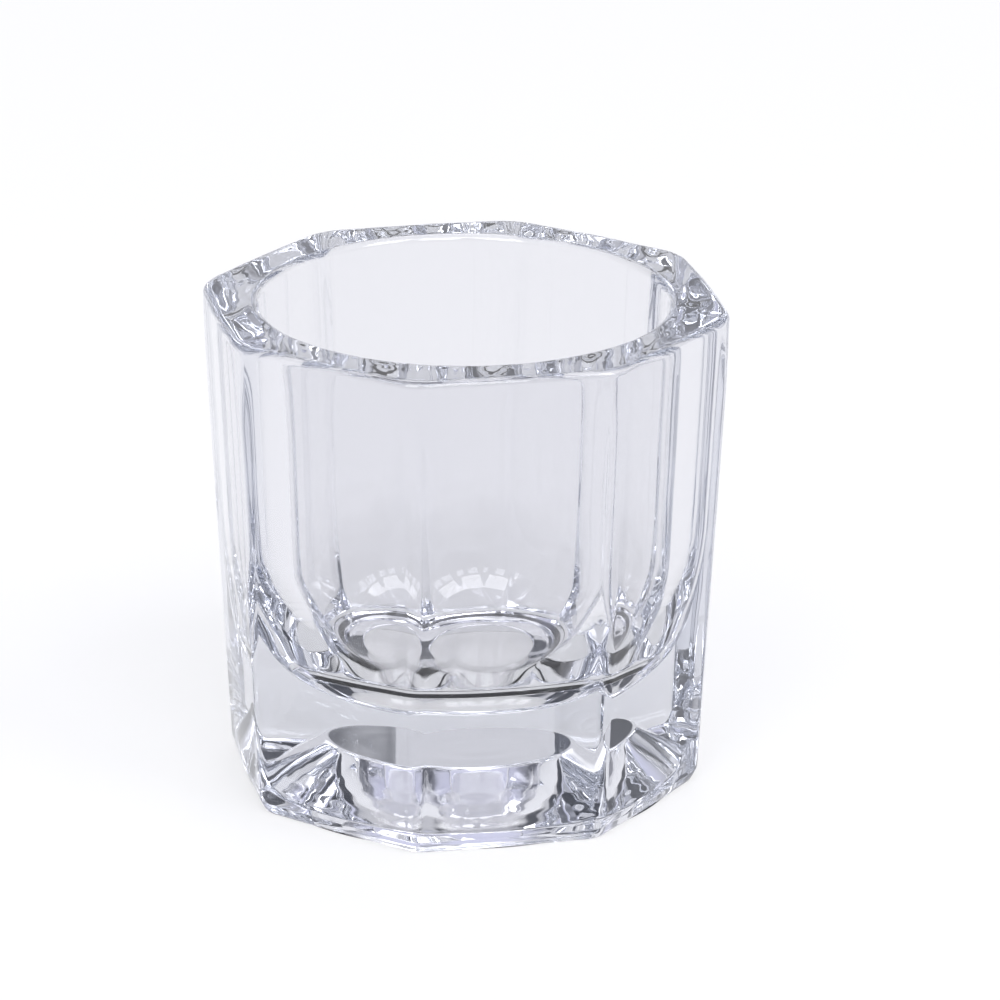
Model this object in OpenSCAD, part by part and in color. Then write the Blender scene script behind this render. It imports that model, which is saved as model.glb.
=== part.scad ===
// Octagonal glass dappen dish: a small, heavy-based pressed glass cup for nail liquids.
// One piece of glass. Units are millimetres.
// The origin is the centre of the foot's resting face, and +Z points up out of the mouth.
// Two of the eight sides face +X and -X, and two face +Y and -Y.

/* [Outside] */
// Height from the resting face to the top of the rim
height = 30; // [29:0.5:34]
// Width of the octagon across two opposite sides at the rim
rim_across = 30; // [29:0.5:36]
// Width of the octagon across two opposite sides at the foot
foot_across = 27; // [25:0.5:28]
// How far the moulded corners are rounded in from a sharp octagon
corner_round = 0.2; // [0.1:0.05:0.5]
// Height of the fire-polished bevel on the rim's outer edge
rim_bevel = 0.5; // [0.2:0.1:0.8]
// Height of the bevel around the foot
foot_bevel = 0.8; // [0.3:0.1:1.2]

/* [Well] */
// Depth from the rim to the flat floor of the well
well_depth = 23; // [20:0.5:23.5]
// Diameter of the wall at the mouth, inside the polished bevel
mouth_d = 24.5; // [24:0.1:26]
// Size of the polished bevel around the mouth
mouth_bevel = 0.5; // [0.2:0.1:0.6]
// Lean of the upper wall from vertical, in degrees
wall_lean = 2; // [1:0.1:4.5]
// Lean of the lower wall from vertical, in degrees
low_lean = 26.4; // [22:0.2:32]
// Radius of the shoulder, the curve from the upper wall into the lower wall
low_round = 12.2; // [9:0.2:16]
// Length of the lower wall's straight run, down its slope
low_wall = 1.2; // [0.4:0.1:2.4]
// Radius of the curve into the floor
floor_round = 4.7; // [4.5:0.1:6]

/* [Underside] */
// Depth of the round hollow in the resting face
hollow_depth = 3.4; // [2:0.1:4]
// Diameter of the hollow where it opens in the resting face
hollow_mouth_d = 20.2; // [16:0.2:21]
// Diameter of the hollow's flat top
hollow_top_d = 10.2; // [7:0.2:12]

/* [View] */
// The piece to draw

/* [Hidden] */
sides = 8;
glass = [0.86, 0.9, 0.93, 0.45];
$fn = 96;
eps = 0.01;
overlap = 1;
corner_factor = 1 / cos(180 / sides);
foot_r = foot_across / 2;
rim_r = rim_across / 2;
floor_z = height - well_depth;

// The well's section, from the mouth down: wall, shoulder, lower wall, curve, floor.
// Each part starts in the direction where the one before it ends.
bevel_z = height - mouth_bevel;
low_drop = low_round * (sin(low_lean) - sin(wall_lean));
turn_z = floor_z + floor_round * (1 - sin(low_lean));
cone_z = turn_z + low_wall * cos(low_lean);
low_top_z = cone_z + low_drop;
low_top_r = mouth_d / 2 - (height - low_top_z) * tan(wall_lean);
low_centre_r = low_top_r - low_round * cos(wall_lean);
low_centre_z = low_top_z + low_round * sin(wall_lean);
cone_r = low_centre_r + low_round * cos(low_lean);
turn_r = cone_r - low_wall * sin(low_lean);
floor_r = turn_r - floor_round * cos(low_lean);
bevel_r = mouth_d / 2 - mouth_bevel * tan(wall_lean);

// The outside's half width at height z
function side_r(z) = foot_r + (rim_r - foot_r) * z / height;

// Half of the outside's section, with the bevels of the foot and the rim
function outline(grow) = [
    [0, 0],
    [(foot_r - foot_bevel * 0.45) * grow, 0],
    [side_r(foot_bevel) * grow, foot_bevel],
    [side_r(height - rim_bevel) * grow, height - rim_bevel],
    [(rim_r - rim_bevel * 0.8) * grow, height],
    [0, height]
];

// A leaning slab that gives two opposite sides of the octagon
module side_pair() {
    right = outline(1);
    left = [for (i = [len(right) - 1:-1:0]) [-right[i].x, right[i].y]];
    rotate([90, 0, 0])
        linear_extrude(height = rim_across * 2, center = true)
            polygon(concat(right, left));
}

// The cone that rounds the eight corners
module corner_cone() {
    rounding = corner_factor - corner_round / rim_r;
    rotate_extrude()
        polygon(outline(rounding));
}

module outside() {
    intersection() {
        side_pair();
        rotate([0, 0, 45])
            side_pair();
        rotate([0, 0, 90])
            side_pair();
        rotate([0, 0, 135])
            side_pair();
        corner_cone();
    }
}

// Upper wall, from the shoulder up to and through the mouth
module upper_wall() {
    polygon([
        [0, low_top_z],
        [low_top_r, low_top_z],
        [bevel_r, bevel_z],
        [mouth_d / 2 + mouth_bevel, height],
        [mouth_d / 2 + mouth_bevel, height + eps],
        [0, height + eps]
    ]);
}

// Shoulder, one long curve. It runs on a little way up inside the upper wall.
module shoulder() {
    intersection() {
        translate([low_centre_r, low_centre_z])
            circle(r = low_round);
        translate([0, cone_z])
            square([rim_r, low_drop + overlap]);
    }
}

// Lower wall, a straight slope. It runs on a little way up inside the shoulder.
module lower_wall() {
    polygon([
        [0, turn_z],
        [turn_r, turn_z],
        [cone_r, cone_z],
        [cone_r, cone_z + overlap],
        [0, cone_z + overlap]
    ]);
}

// Curve into the floor, and the floor itself. It runs on a little way up inside the lower wall.
module floor_curve() {
    intersection() {
        union() {
            translate([floor_r, floor_z + floor_round])
                circle(r = floor_round);
            square([floor_r, height]);
        }
        translate([0, floor_z])
            square([rim_r, turn_z - floor_z + overlap]);
    }
}

module well() {
    rotate_extrude()
        union() {
            upper_wall();
            shoulder();
            lower_wall();
            floor_curve();
        }
}

// A round hollow with sloping sides, so that the dish stands on a ring
module hollow() {
    slope = (hollow_mouth_d - hollow_top_d) / 2 / hollow_depth;
    translate([0, 0, -eps])
        cylinder(
            h = hollow_depth + eps,
            r1 = hollow_mouth_d / 2 + eps * slope,
            r2 = hollow_top_d / 2
        );
}

module dish() {
    color(glass)
        difference() {
            outside();
            well();
            hollow();
        }
}

dish();
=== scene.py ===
"""Looks of a clear pressed-glass dappen dish: eight sides, a round well and a hollow foot.

The dish is one piece of glass. Its surface is built ring by ring from the foot's hollow,
out over the foot, up the eight sides, over the rim and down into the well.
"""
import math

import bmesh
import bpy
import numpy as np
from bpy.props import FloatProperty, FloatVectorProperty, PointerProperty
from mathutils import Matrix, Vector


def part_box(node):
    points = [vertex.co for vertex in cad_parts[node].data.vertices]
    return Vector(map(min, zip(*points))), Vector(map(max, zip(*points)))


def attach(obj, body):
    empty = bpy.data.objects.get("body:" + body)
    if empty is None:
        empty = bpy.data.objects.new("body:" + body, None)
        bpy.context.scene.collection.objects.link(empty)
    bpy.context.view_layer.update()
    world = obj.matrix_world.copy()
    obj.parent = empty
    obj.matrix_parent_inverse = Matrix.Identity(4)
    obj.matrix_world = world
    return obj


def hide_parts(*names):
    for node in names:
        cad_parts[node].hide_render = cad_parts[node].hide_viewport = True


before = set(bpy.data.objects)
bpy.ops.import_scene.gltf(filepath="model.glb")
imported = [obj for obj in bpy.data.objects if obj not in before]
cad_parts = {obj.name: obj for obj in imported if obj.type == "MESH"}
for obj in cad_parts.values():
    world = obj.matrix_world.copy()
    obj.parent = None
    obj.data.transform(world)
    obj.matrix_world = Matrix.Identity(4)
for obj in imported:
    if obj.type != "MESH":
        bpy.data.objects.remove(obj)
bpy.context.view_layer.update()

bl_info = {
    "name": "Glass Dappen Dish",
    "version": (1, 0, 0),
    "blender": (4, 5, 0),
    "location": "3D View > Sidebar > Dappen Dish",
    "description": "Builds a clear pressed-glass cup for nail liquid and a pale studio round it",
    "category": "Add Mesh",
}

DISH_LOW, DISH_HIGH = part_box("dish")
SIDES = 8
HALF_SIDE = math.pi / SIDES
FLAT_COLUMNS = 22
CORNER_COLUMNS = 10
FOOT_BEVEL_RUN = 0.45  # width of the foot's bevel as a share of its height
HOLLOW_LIP = 0.0003  # rounding where the hollow meets the foot
MELT_DEPTH = 0.005  # how far below the rim its melted corners reach

# Small faults of the glass: number of sine waves, longest and shortest wave, and seed
PRESSING = (40, 0.011, 0.003, 11)
RIM_BEADS = (60, 0.0022, 0.0006, 51)
SIDE_STREAKS = (36, 0.0032, 0.0011, 23)
TURNED_RINGS = (16, 0.0022, 0.0005, 37)
STREAK_STRETCH = (1, 1, 9)

SMUDGE_SCALE = 260
SMUDGE_ROUGHNESS = 0.02

# The table's shade: its reach, and the radii as shares of that reach. 1 is lit, 0 is shaded.
SHADE_REACH = 0.02
SHADE_RINGS = ((0.0, 1), (0.503, 1), (0.512, 0), (0.595, 0), (0.605, 1),
               (0.652, 1), (0.655, 0), (0.664, 0), (0.667, 1), (1.0, 1))
FLOOR_RADIUS = 6.0
FLOOR_GAP = 0.00002
SENSOR_WIDTH = 36

# Places in the surroundings are (azimuth from +Y towards +X, elevation) in degrees
WINDOW_TURNS = (135, 175, 215)
WINDOW_LIFT = 50
WINDOW_SIZE = (0.34, 0.55)
BACK_PLACE = (10, 60)
BACK_SIZE = (0.25, 0.25)

# Colours of the surroundings from straight down (0) through the horizon (0.5) to straight up (1)
SKY = (
    (0.0, (0.90, 0.90, 0.92)),
    (0.51, (0.92, 0.92, 0.94)),
    (0.545, (0.68, 0.68, 0.71)),
    (0.70, (0.66, 0.66, 0.70)),
    (0.82, (0.48, 0.49, 0.54)),
    (0.92, (0.74, 0.75, 0.90)),
    (1.0, (0.78, 0.79, 1.0)),
)
DARK = (0.018, 0.024, 0.045)
BACKDROP = (0.82, 0.82, 0.85)
SOFTBOX = (1.6, 1.6, 1.62)
EVEN = (1, 1, 1)
# Soft patches over those colours: place, half width, softness of the edge, colour, strength, squeeze
PATCHES = (
    ((12, 14), 0.56, 0.2, BACKDROP, 1.0, (1, 1, 1.1)),
    ((12, 43), 0.22, 0.3, SOFTBOX, 1.0, EVEN),
    ((180, 22), 0.62, 0.35, DARK, 0.9, (1, 1, 1.7)),
    ((125, 16), 0.34, 0.4, DARK, 0.9, (1, 1, 1.6)),
    ((-135, 16), 0.3, 0.4, DARK, 0.8, (1, 1, 1.6)),
    ((65, 20), 0.44, 0.15, DARK, 0.97, (1, 1, 1.4)),
    ((-49, 19), 0.52, 0.04, DARK, 0.97, (1, 1, 1.5)),
    ((-25, 52), 0.13, 0.3, DARK, 0.95, EVEN),
    ((80, 45), 0.22, 0.4, DARK, 0.7, EVEN),
    ((-75, 40), 0.22, 0.4, DARK, 0.7, EVEN),
)


def length(name, description, default):
    return FloatProperty(name=name, description=description, default=default, min=0, unit="LENGTH", precision=5)


def angle(name, description, degrees):
    return FloatProperty(name=name, description=description, default=math.radians(degrees), subtype="ANGLE")


def colour(name, description, default):
    return FloatVectorProperty(name=name, description=description, default=default, size=3, min=0, max=1,
                               subtype="COLOR")


class DishSizes(bpy.types.PropertyGroup):
    height: length("Height", "From the table to the top of the rim", DISH_HIGH.z)
    rim_across: length("Rim Across", "Across two opposite sides at the rim", 0.030)
    foot_across: length("Foot Across", "Across two opposite sides at the foot", 0.027)
    corner: length("Corner Radius", "Rounding of the eight upright corners", 0.0016)
    rim_corner: length("Rim Corner Radius", "Rounding of the corners where the rim was melted smooth", 0.0036)
    crown: length("Side Crown", "How far the middle of a side stands out", 0.00012)
    rim_edge: length("Rim Edge", "Fire-polished rounding outside the rim", 0.0005)
    foot_edge: length("Foot Edge", "Height of the bevel round the foot", 0.0008)
    mouth: length("Mouth Radius", "Well radius at the mouth, inside its edge", 0.01225)
    mouth_edge: length("Mouth Edge", "Fire-polished rounding inside the rim", 0.0005)
    well_depth: length("Well Depth", "From the rim to the floor of the well", 0.023)
    wall_lean: angle("Wall Lean", "Lean of the well's upper wall", 2.0)
    lower_lean: angle("Lower Lean", "Lean of the well's lower wall", 26.4)
    shoulder: length("Shoulder Radius", "Curve from the upper wall to the lower", 0.0122)
    lower_wall: length("Lower Wall", "Straight length of the lower wall", 0.0012)
    floor_curve: length("Floor Curve", "Curve from the lower wall to the floor", 0.0047)
    hollow_depth: length("Hollow Depth", "Depth of the hollow under the foot", 0.0034)
    hollow_mouth: length("Hollow Mouth", "Radius of the hollow at the table", 0.0101)
    hollow_top: length("Hollow Top", "Radius of the hollow's flat top", 0.0055)
    hollow_edge: length("Hollow Edge", "Rounding round the hollow's flat top", 0.0008)


class GlassFinish(bpy.types.PropertyGroup):
    tint: colour("Tint", "Colour that light keeps through one wall", (0.87, 0.87, 0.89))
    body_tint: colour("Body Tint", "Colour that light keeps inside the glass", (0.885, 0.895, 0.92))
    depth_of_tint: FloatProperty(name="Depth of Tint", description="How soon the glass colours the light",
                                 default=60.0, min=0)
    ior: FloatProperty(name="Refraction", description="Index of refraction of the glass", default=1.52, min=1)
    wave: length("Surface Wave", "Depth of the slow waves that pressing leaves", 0.0000035)
    bead: length("Rim Beads", "Depth of the small dimples in the melted rim", 0.000007)
    streak: length("Side Streaks", "Depth of the upright streaks on the sides", 0.0000008)
    turning: length("Turning Marks", "Depth of the turned rings in the hollow", 0.0000030)


class StudioLook(bpy.types.PropertyGroup):
    floor: colour("Floor", "Colour of the studio floor", (0.30, 0.30, 0.305))
    floor_glow: FloatProperty(name="Floor Glow", description="Light that the lit table gives from below",
                              default=0.66, min=0)
    contact: FloatProperty(name="Contact Shade", description="Light left on the table where the foot's ring touches",
                           default=0.0, min=0, max=1)
    sky: FloatProperty(name="Soft Light", description="Strength of the light from all round", default=1.0, min=0)
    key: FloatProperty(name="Key Light", description="Power of each window lamp in watts", default=3.0, min=0)
    back: FloatProperty(name="Back Light", description="Power of the rear lamp in watts", default=0.5, min=0)
    azimuth: angle("Camera Azimuth", "Turn of the camera from straight in front", -11.6)
    elevation: angle("Camera Elevation", "Height of the camera as an angle", 20.6)
    roll: angle("Camera Roll", "Turn of the camera about its own axis", 0.17)
    pan: angle("Camera Pan", "Turn of the view to the right of the dish", 0.374)
    tilt: angle("Camera Tilt", "Turn of the view above the dish", 0.337)
    distance: length("Camera Distance", "From the middle of the dish to the camera", 0.3359)
    lens: FloatProperty(name="Lens", description="Focal length in millimetres", default=199.6, min=1)


def octagon(theta, apothem, corner, crown):
    """Radius of a rounded octagon at each angle: crowned sides that run smoothly into round corners."""
    turn = np.abs((theta + HALF_SIDE) % (2 * HALF_SIDE) - HALF_SIDE)
    centre = (apothem - corner) / math.cos(HALF_SIDE)
    half_flat = centre * math.sin(HALF_SIDE)
    on_corner = turn > math.atan2(half_flat, apothem)
    across = centre * np.sin(HALF_SIDE - turn)
    arc = centre * np.cos(HALF_SIDE - turn) + np.sqrt(np.maximum(corner ** 2 - across ** 2, 0))
    flat = apothem / np.cos(turn)
    along = np.clip(flat * np.sin(turn) / half_flat, 0, 1)
    return np.where(on_corner, arc, flat + crown * (1 - along ** 2) ** 2)


def columns(sizes):
    """Angles of the mesh columns, closer together round the corners."""
    apothem = sizes.rim_across / 2
    centre = (apothem - sizes.corner) / math.cos(HALF_SIDE)
    edge = math.atan2(centre * math.sin(HALF_SIDE), apothem) / HALF_SIDE
    flat = np.linspace(-edge, edge, FLAT_COLUMNS, endpoint=False)
    bend = np.linspace(edge, 2 - edge, CORNER_COLUMNS, endpoint=False)
    one = np.concatenate([flat, bend]) * HALF_SIDE
    return np.concatenate([one + 2 * HALF_SIDE * side for side in range(SIDES)])


def bend(centre, radius, start, stop, steps):
    """Points on an arc of the section, from just after start to stop, as (radius, height)."""
    turns = np.linspace(start, stop, steps + 1)[1:]
    return [(centre[0] + radius * math.cos(t), centre[1] + radius * math.sin(t)) for t in turns]


def hollow_section(sizes):
    """Section of the hollow under the foot, from its centre out to the table."""
    top, depth, mouth, edge = sizes.hollow_top, sizes.hollow_depth, sizes.hollow_mouth, sizes.hollow_edge
    slope = math.atan2(depth, mouth - top)
    back = edge * math.tan(slope / 2)
    points = [(r, depth) for r in np.linspace(0, top - back, 14)[1:]]
    points += bend((top - back, depth - edge), edge, math.pi / 2, math.pi / 2 - slope, 8)
    start = points[-1]
    stop = (mouth - HOLLOW_LIP * math.cos(slope), HOLLOW_LIP * math.sin(slope))
    for step in np.linspace(0, 1, 34)[1:]:
        points.append((start[0] + (stop[0] - start[0]) * step, start[1] + (stop[1] - start[1]) * step))
    for step in np.linspace(0, 1, 7)[1:]:
        points.append((stop[0] + (mouth + HOLLOW_LIP - stop[0]) * step, stop[1] * (1 - step) ** 2))
    return points


def well_section(sizes):
    """Section of the well, from the polished edge of the mouth down to its centre."""
    lean, low = sizes.wall_lean, sizes.lower_lean
    floor = sizes.height - sizes.well_depth
    curve, shoulder, edge = sizes.floor_curve, sizes.shoulder, sizes.mouth_edge
    turn_z = floor + curve * (1 - math.sin(low))
    cone_z = turn_z + sizes.lower_wall * math.cos(low)
    top_z = cone_z + shoulder * (math.sin(low) - math.sin(lean))
    top_r = sizes.mouth - (sizes.height - top_z) * math.tan(lean)
    centre = (top_r - shoulder * math.cos(lean), top_z + shoulder * math.sin(lean))
    cone_r = centre[0] + shoulder * math.cos(low)
    turn_r = cone_r - sizes.lower_wall * math.sin(low)
    floor_r = turn_r - curve * math.cos(low)
    if floor_r <= 0:
        raise ValueError("the well's curves leave no room for its floor")
    points = bend((sizes.mouth + edge, sizes.height - edge), edge, math.pi / 2, math.pi, 10)
    start = points[-1]
    for step in np.linspace(0, 1, 34)[1:]:
        points.append((start[0] + (top_r - start[0]) * step, start[1] + (top_z - start[1]) * step))
    points += bend(centre, shoulder, -lean, -low, 44)
    for step in np.linspace(0, 1, 8)[1:]:
        points.append((cone_r + (turn_r - cone_r) * step, cone_z + (turn_z - cone_z) * step))
    points += bend((floor_r, floor + curve), curve, -low, -math.pi / 2, 40)
    points += [(floor_r * (1 - step), floor) for step in np.linspace(0, 1, 14)[1:-1]]
    return points


def rings(sizes, theta):
    """Rings of the whole skin, each a radius for every column and a height."""
    height, rim, foot = sizes.height, sizes.rim_across / 2, sizes.foot_across / 2

    def shape(apothem, z=0.0):
        melted = min(max((z - height + MELT_DEPTH) / MELT_DEPTH, 0), 1) ** 1.5
        return octagon(theta, apothem, sizes.corner + (sizes.rim_corner - sizes.corner) * melted, sizes.crown)

    def side(z):
        return foot + (rim - foot) * z / height

    even = np.ones_like(theta)
    out = [(r * even, z) for r, z in hollow_section(sizes)]
    inner = out[-1][0]
    bevel = sizes.foot_edge
    outer = shape(foot - bevel * FOOT_BEVEL_RUN)
    for step in np.linspace(0, 1, 9)[1:]:
        out.append((inner + (outer - inner) * step, 0.0))
    for step in np.linspace(0, 1, 9)[1:]:
        out.append((shape(side(bevel * step) - bevel * FOOT_BEVEL_RUN * (1 - step ** 0.8)), bevel * step))
    for z in np.linspace(bevel, height - sizes.rim_edge, 90)[1:]:
        out.append((shape(side(z), z), z))
    edge = sizes.rim_edge
    for turn in np.linspace(0, math.pi / 2, 11)[1:]:
        z = height - edge + edge * math.sin(turn)
        out.append((shape(side(z) - edge * (1 - math.cos(turn)), z), z))
    outer = out[-1][0]
    for step in np.linspace(0, 1, 9)[1:]:
        out.append((outer + (sizes.mouth + sizes.mouth_edge - outer) * step, height))
    out += [(r * even, z) for r, z in well_section(sizes)]
    return out


def waves(points, count, longest, shortest, seed, stretch=EVEN):
    """Smooth noise of about unit depth: a fixed sum of sine waves in seeded directions."""
    draw = np.random.default_rng(seed)
    ways = draw.normal(size=(count, 3))
    ways /= np.linalg.norm(ways, axis=1)[:, None]
    lengths = np.exp(draw.uniform(math.log(shortest), math.log(longest), count))
    phases = draw.uniform(0, 2 * math.pi, count)
    share = np.sqrt(lengths / longest)
    total = np.zeros(len(points))
    scaled = points / np.array(stretch)
    for way, size, phase, part in zip(ways, lengths, phases, share):
        total += part * np.sin(scaled @ way * (2 * math.pi / size) + phase)
    return total / math.sqrt(count / 2)


def uneven(points, normals, sizes, glass):
    """Moves the skin in and out by the small faults of pressed and fire-polished glass."""
    radius = np.hypot(points[:, 0], points[:, 1])
    z = points[:, 2]
    slow = waves(points, *PRESSING) * glass.wave
    near_rim = np.clip((z - sizes.height + 0.002) / 0.0015, 0, 1)
    near_foot = np.clip((0.006 - z) / 0.004, 0, 1)
    slow *= 1 + 1.6 * near_rim + 0.8 * near_foot
    slow += waves(points, *RIM_BEADS) * glass.bead * near_rim
    upright = 1 - np.abs(normals[:, 2])
    outside = radius > sizes.mouth + sizes.mouth_edge
    streaks = waves(points, *SIDE_STREAKS, STREAK_STRETCH) * glass.streak * upright * outside
    in_hollow = (radius < sizes.hollow_mouth) & (z < sizes.hollow_depth + 0.0001)
    marks = waves(np.stack([radius, radius * 0, radius * 0], 1), *TURNED_RINGS) * glass.turning
    return points + normals * (slow + streaks + marks * in_hollow)[:, None]


def dish_mesh(sizes, glass):
    """The closed skin of the dish as one mesh."""
    theta = columns(sizes)
    skin = rings(sizes, theta)
    count, per = len(skin), len(theta)
    bottom = Vector((0, 0, sizes.hollow_depth))
    floor = Vector((0, 0, sizes.height - sizes.well_depth))
    mesh = bmesh.new()
    rows = []
    for radius, z in skin:
        rows.append([mesh.verts.new((r * math.cos(t), r * math.sin(t), z)) for r, t in zip(radius, theta)])
    start, stop = mesh.verts.new(bottom), mesh.verts.new(floor)
    for row in range(count - 1):
        here, above = rows[row], rows[row + 1]
        for column in range(per):
            beside = (column + 1) % per
            mesh.faces.new((here[beside], above[beside], above[column], here[column]))
    for column in range(per):
        beside = (column + 1) % per
        mesh.faces.new((rows[0][beside], rows[0][column], start))
        mesh.faces.new((rows[-1][column], rows[-1][beside], stop))
    bmesh.ops.recalc_face_normals(mesh, faces=mesh.faces)
    mesh.normal_update()
    points = np.array([v.co for v in mesh.verts])
    normals = np.array([v.normal for v in mesh.verts])
    for vert, co in zip(mesh.verts, uneven(points, normals, sizes, glass)):
        vert.co = co
    for face in mesh.faces:
        face.smooth = True
    data = bpy.data.meshes.new("glass_dish")
    mesh.to_mesh(data)
    mesh.free()
    return data


def node(tree, kind, **values):
    made = tree.nodes.new(kind)
    for name, value in values.items():
        setattr(made, name, value)
    return made


def clear_glass(glass):
    """Clear pressed glass: clean refraction, faint hand smudges in its gloss and a weak body tint."""
    material = bpy.data.materials.new("clear_pressed_glass")
    material.use_nodes = True
    tree = material.node_tree
    tree.nodes.clear()
    out = node(tree, "ShaderNodeOutputMaterial")
    surface = node(tree, "ShaderNodeBsdfPrincipled")
    surface.inputs["Base Color"].default_value = (*glass.tint, 1)
    surface.inputs["Transmission Weight"].default_value = 1
    surface.inputs["IOR"].default_value = glass.ior
    place = node(tree, "ShaderNodeTexCoord")
    smudge = node(tree, "ShaderNodeTexNoise")
    smudge.inputs["Scale"].default_value = SMUDGE_SCALE
    smudge.inputs["Detail"].default_value = 3
    gloss = node(tree, "ShaderNodeMapRange")
    gloss.inputs["From Min"].default_value = 0.5
    gloss.inputs["From Max"].default_value = 0.8
    gloss.inputs["To Min"].default_value = 0.0
    gloss.inputs["To Max"].default_value = SMUDGE_ROUGHNESS
    tree.links.new(place.outputs["Object"], smudge.inputs["Vector"])
    tree.links.new(smudge.outputs["Fac"], gloss.inputs["Value"])
    tree.links.new(gloss.outputs["Result"], surface.inputs["Roughness"])
    tree.links.new(surface.outputs["BSDF"], out.inputs["Surface"])
    body = node(tree, "ShaderNodeVolumeAbsorption")
    body.inputs["Color"].default_value = (*glass.body_tint, 1)
    body.inputs["Density"].default_value = glass.depth_of_tint
    tree.links.new(body.outputs["Volume"], out.inputs["Volume"])
    return material


def matte_floor(look):
    """Pale matte table, lit softly from below, with the shade where the foot touches it."""
    material = bpy.data.materials.new("studio_floor")
    material.use_nodes = True
    tree = material.node_tree
    surface = tree.nodes["Principled BSDF"]
    surface.inputs["Roughness"].default_value = 1
    surface.inputs["Specular IOR Level"].default_value = 0
    surface.inputs["Emission Color"].default_value = (1, 1, 1, 1)
    place = node(tree, "ShaderNodeTexCoord")
    flat = node(tree, "ShaderNodeVectorMath", operation="MULTIPLY")
    flat.inputs[1].default_value = (1, 1, 0)
    radius = node(tree, "ShaderNodeVectorMath", operation="LENGTH")
    shade = node(tree, "ShaderNodeValToRGB")
    reach = node(tree, "ShaderNodeMath", operation="MULTIPLY")
    reach.inputs[1].default_value = 1 / SHADE_REACH
    rings_lit = [(at, 1.0 if lit else look.contact) for at, lit in SHADE_RINGS]
    fill_ramp(shade.color_ramp, [(at, (value, value, value)) for at, value in rings_lit])
    tint = node(tree, "ShaderNodeVectorMath", operation="MULTIPLY")
    tint.inputs[0].default_value = look.floor
    glow = node(tree, "ShaderNodeMath", operation="MULTIPLY")
    glow.inputs[1].default_value = look.floor_glow
    tree.links.new(place.outputs["Object"], flat.inputs[0])
    tree.links.new(flat.outputs["Vector"], radius.inputs[0])
    tree.links.new(radius.outputs["Value"], reach.inputs[0])
    tree.links.new(reach.outputs["Value"], shade.inputs["Fac"])
    tree.links.new(shade.outputs["Color"], tint.inputs[1])
    tree.links.new(tint.outputs["Vector"], surface.inputs["Base Color"])
    tree.links.new(shade.outputs["Color"], glow.inputs[0])
    tree.links.new(glow.outputs["Value"], surface.inputs["Emission Strength"])
    return material


def fill_ramp(ramp, stops):
    """Sets a colour ramp to the given (place, colour) stops."""
    while len(ramp.elements) > 1:
        ramp.elements.remove(ramp.elements[-1])
    ramp.elements[0].position, ramp.elements[0].color = stops[0][0], (*stops[0][1], 1)
    for place, shade in stops[1:]:
        ramp.elements.new(place).color = (*shade, 1)


def toward(azimuth, elevation):
    """Unit vector for an azimuth from +Y towards +X and an elevation, in degrees."""
    turn, lift = math.radians(azimuth), math.radians(elevation)
    return (math.sin(turn) * math.cos(lift), math.cos(turn) * math.cos(lift), math.sin(lift))


def soft_patch(tree, way, before, place, width, softness, shade, amount, squeeze):
    """Lays a soft round patch of another shade over part of the surroundings."""
    offset = node(tree, "ShaderNodeVectorMath", operation="SUBTRACT")
    offset.inputs[1].default_value = toward(*place)
    squash = node(tree, "ShaderNodeVectorMath", operation="MULTIPLY")
    squash.inputs[1].default_value = squeeze
    span = node(tree, "ShaderNodeVectorMath", operation="LENGTH")
    mask = node(tree, "ShaderNodeMapRange", interpolation_type="SMOOTHSTEP")
    mask.inputs["From Min"].default_value = width * (1 - softness)
    mask.inputs["From Max"].default_value = width * (1 + softness)
    mask.inputs["To Min"].default_value = amount
    mask.inputs["To Max"].default_value = 0
    mix = node(tree, "ShaderNodeMix", data_type="RGBA")
    # A colour mix has its colour sockets after the number and vector ones of the same name
    colour_a, colour_b, mixed = mix.inputs[6], mix.inputs[7], mix.outputs[2]
    colour_b.default_value = (*shade, 1)
    tree.links.new(way, offset.inputs[0])
    tree.links.new(offset.outputs["Vector"], squash.inputs[0])
    tree.links.new(squash.outputs["Vector"], span.inputs[0])
    tree.links.new(span.outputs["Value"], mask.inputs["Value"])
    tree.links.new(mask.outputs["Result"], mix.inputs[0])
    tree.links.new(before, colour_a)
    return mixed


def soft_world(look):
    """Pale horizon, a lit backdrop, a lavender ceiling and darker places that give the glass its edges."""
    world = bpy.data.worlds.new("soft_studio")
    bpy.context.scene.world = world
    world.use_nodes = True
    tree = world.node_tree
    tree.nodes.clear()
    out = node(tree, "ShaderNodeOutputWorld")
    light = node(tree, "ShaderNodeBackground")
    light.inputs["Strength"].default_value = look.sky
    way = node(tree, "ShaderNodeTexCoord")
    parts = node(tree, "ShaderNodeSeparateXYZ")
    lift = node(tree, "ShaderNodeMapRange")
    lift.inputs["From Min"].default_value = -1
    ramp = node(tree, "ShaderNodeValToRGB")
    fill_ramp(ramp.color_ramp, SKY)
    tree.links.new(way.outputs["Generated"], parts.inputs["Vector"])
    tree.links.new(parts.outputs["Z"], lift.inputs["Value"])
    tree.links.new(lift.outputs["Result"], ramp.inputs["Fac"])
    shade = ramp.outputs["Color"]
    for patch in PATCHES:
        shade = soft_patch(tree, way.outputs["Generated"], shade, *patch)
    tree.links.new(shade, light.inputs["Color"])
    tree.links.new(light.outputs["Background"], out.inputs["Surface"])


def soft_lamp(name, power, size, place, target):
    """An oblong soft lamp, of the given width and height, that faces the target."""
    lamp = bpy.data.lights.new(name, "AREA")
    lamp.shape = "RECTANGLE"
    lamp.energy = power
    lamp.size, lamp.size_y = size
    holder = bpy.data.objects.new(name, lamp)
    bpy.context.scene.collection.objects.link(holder)
    holder.location = place
    holder.rotation_euler = (Vector(target) - Vector(place)).to_track_quat("-Z", "Y").to_euler()


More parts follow.
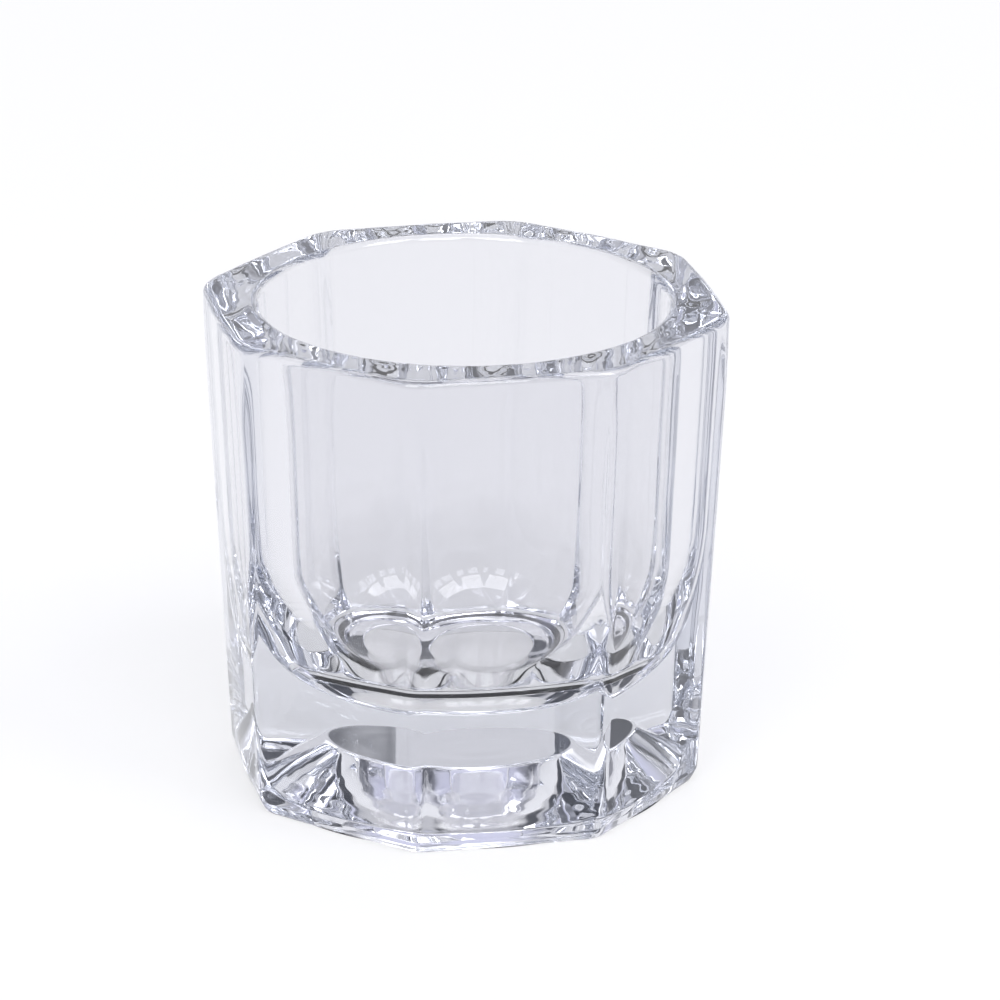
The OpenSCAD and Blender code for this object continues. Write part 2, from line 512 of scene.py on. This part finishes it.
def floor_disc(look):
    """A wide round studio floor, flush with the foot."""
    mesh = bmesh.new()
    bmesh.ops.create_circle(mesh, cap_ends=True, segments=96, radius=FLOOR_RADIUS)
    data = bpy.data.meshes.new("studio_floor")
    mesh.to_mesh(data)
    mesh.free()
    floor = bpy.data.objects.new("studio_floor", data)
    bpy.context.scene.collection.objects.link(floor)
    floor.location.z = DISH_LOW.z - FLOOR_GAP
    data.materials.append(matte_floor(look))


def aim_camera(look, middle):
    """A long lens that looks slightly down at the dish."""
    away = Vector((math.sin(look.azimuth) * math.cos(look.elevation),
                   -math.cos(look.azimuth) * math.cos(look.elevation), math.sin(look.elevation)))
    ahead = -away
    right = ahead.cross(Vector((0, 0, 1))).normalized()
    up = right.cross(ahead)
    across = right * math.cos(look.roll) + up * math.sin(look.roll)
    upright = up * math.cos(look.roll) - right * math.sin(look.roll)
    ahead = (ahead + across * math.tan(look.pan) + upright * math.tan(look.tilt)).normalized()
    across = (across - ahead * across.dot(ahead)).normalized()
    upright = across.cross(ahead)
    camera = bpy.data.cameras.new("camera")
    camera.lens = look.lens
    camera.sensor_width = SENSOR_WIDTH
    camera.clip_start = 0.01
    camera.clip_end = 50
    holder = bpy.data.objects.new("camera", camera)
    bpy.context.scene.collection.objects.link(holder)
    pose = Matrix((across, upright, -ahead)).transposed().to_4x4()
    pose.translation = middle + away * look.distance
    holder.matrix_world = pose
    bpy.context.scene.camera = holder


class DAPPEN_OT_dish(bpy.types.Operator):
    """Press the dish in one piece: eight sides, round well, hollow foot"""
    bl_idname = "dappen.dish"
    bl_label = "Glass Dish"

    def execute(self, context):
        sizes, glass = context.scene.dish_sizes, context.scene.glass_finish
        dish = bpy.data.objects.new("glass_dish", dish_mesh(sizes, glass))
        context.scene.collection.objects.link(dish)
        dish.data.materials.append(clear_glass(glass))
        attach(dish, "root")
        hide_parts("dish")
        return {"FINISHED"}


class DAPPEN_OT_stage(bpy.types.Operator):
    """Set the floor, the soft light and the camera"""
    bl_idname = "dappen.stage"
    bl_label = "Studio"

    def execute(self, context):
        look = context.scene.studio_look
        middle = (DISH_LOW + DISH_HIGH) / 2
        aim_camera(look, Vector((0, 0, middle.z)))
        floor_disc(look)
        soft_world(look)
        for number, turn in enumerate(WINDOW_TURNS):
            soft_lamp(f"window_{number + 1}", look.key, WINDOW_SIZE, Vector(toward(turn, WINDOW_LIFT)), middle)
        soft_lamp("back_lamp", look.back, BACK_SIZE, Vector(toward(*BACK_PLACE)), middle)
        scene = context.scene
        scene.view_settings.view_transform = "Standard"
        scene.cycles.max_bounces = 32
        scene.cycles.transmission_bounces = 32
        scene.cycles.glossy_bounces = 24
        return {"FINISHED"}


class DAPPEN_PT_panel(bpy.types.Panel):
    """Lists the dish, its glass and the studio"""
    bl_idname = "DAPPEN_PT_panel"
    bl_label = "Dappen Dish"
    bl_space_type = "VIEW_3D"
    bl_region_type = "UI"
    bl_category = "Dappen Dish"

    def draw(self, context):
        for group, step in (("dish_sizes", "dappen.dish"), ("glass_finish", None), ("studio_look", "dappen.stage")):
            column = self.layout.column(align=True)
            values = getattr(context.scene, group)
            for name in values.__annotations__:
                column.prop(values, name)
            if step:
                column.operator(step)


GROUPS = (("dish_sizes", DishSizes), ("glass_finish", GlassFinish), ("studio_look", StudioLook))
CLASSES = (DishSizes, GlassFinish, StudioLook, DAPPEN_OT_dish, DAPPEN_OT_stage, DAPPEN_PT_panel)


def register():
    for kind in CLASSES:
        bpy.utils.register_class(kind)
    for name, group in GROUPS:
        setattr(bpy.types.Scene, name, PointerProperty(type=group))


def unregister():
    for name, _ in GROUPS:
        delattr(bpy.types.Scene, name)
    for kind in reversed(CLASSES):
        bpy.utils.unregister_class(kind)


def main():
    register()
    bpy.ops.dappen.dish()
    bpy.ops.dappen.stage()


if __name__ == "__main__":
    main()
